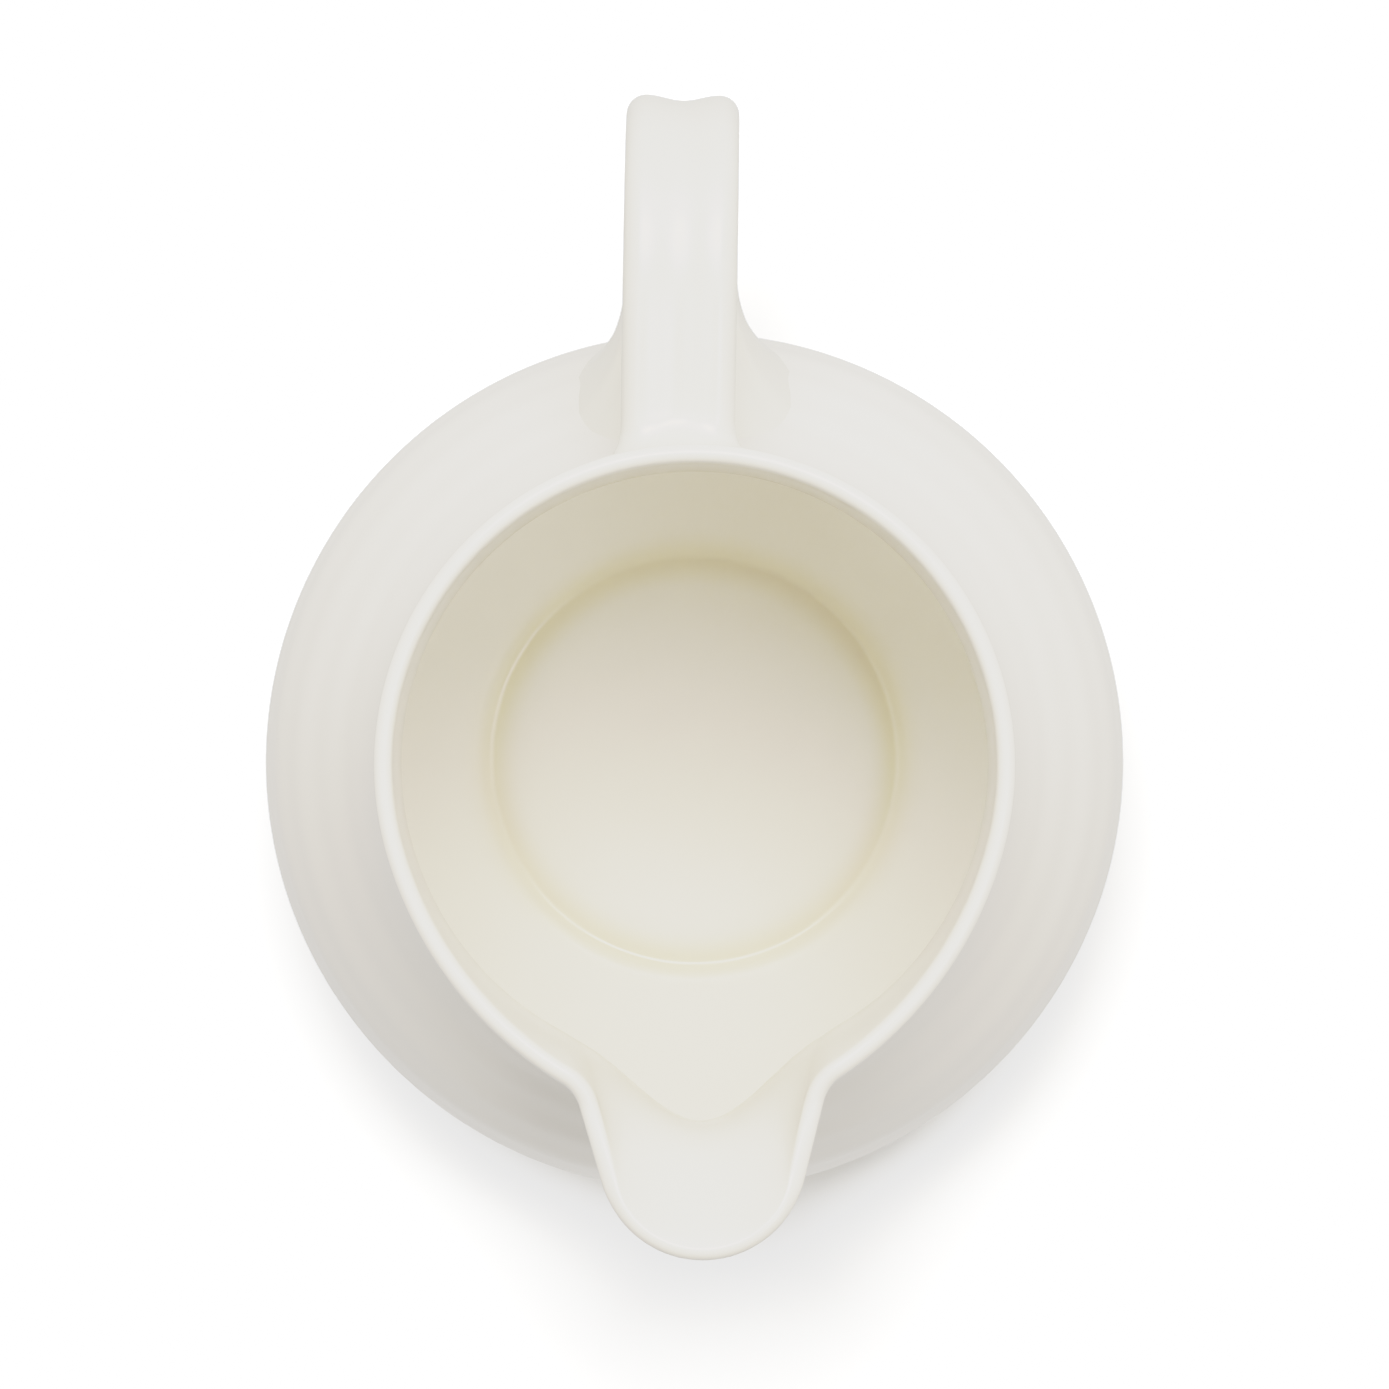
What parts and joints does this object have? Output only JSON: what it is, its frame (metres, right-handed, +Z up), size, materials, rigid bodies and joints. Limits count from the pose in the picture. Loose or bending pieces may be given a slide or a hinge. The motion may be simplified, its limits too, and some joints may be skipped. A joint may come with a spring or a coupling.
{
  "type": "cream jug",
  "caption": "Round-bellied white glazed porcelain cream jug with a short neck, a lipped pouring spout and a grooved strap handle.",
  "frame": {"origin": "centre of the foot ring's resting plane, on the jug's axis", "axes": "+Z up along the jug's axis, -Y towards the spout, +Y towards the handle, +X to the right seen from the spout's back"},
  "size_m": [0.094, 0.1227, 0.0869],
  "materials": {
    "glazed_porcelain": "glossy clear glaze over white porcelain",
    "bare_porcelain": "matt, unglazed, ground smooth"
  },
  "bodies": {
    "root": {"body": "glazed_porcelain", "foot_ring": "bare_porcelain", "spout": "glazed_porcelain", "handle": "glazed_porcelain", "upper_handle_joint": "glazed_porcelain", "lower_handle_joint": "glazed_porcelain"}
  },
  "joints": []
}
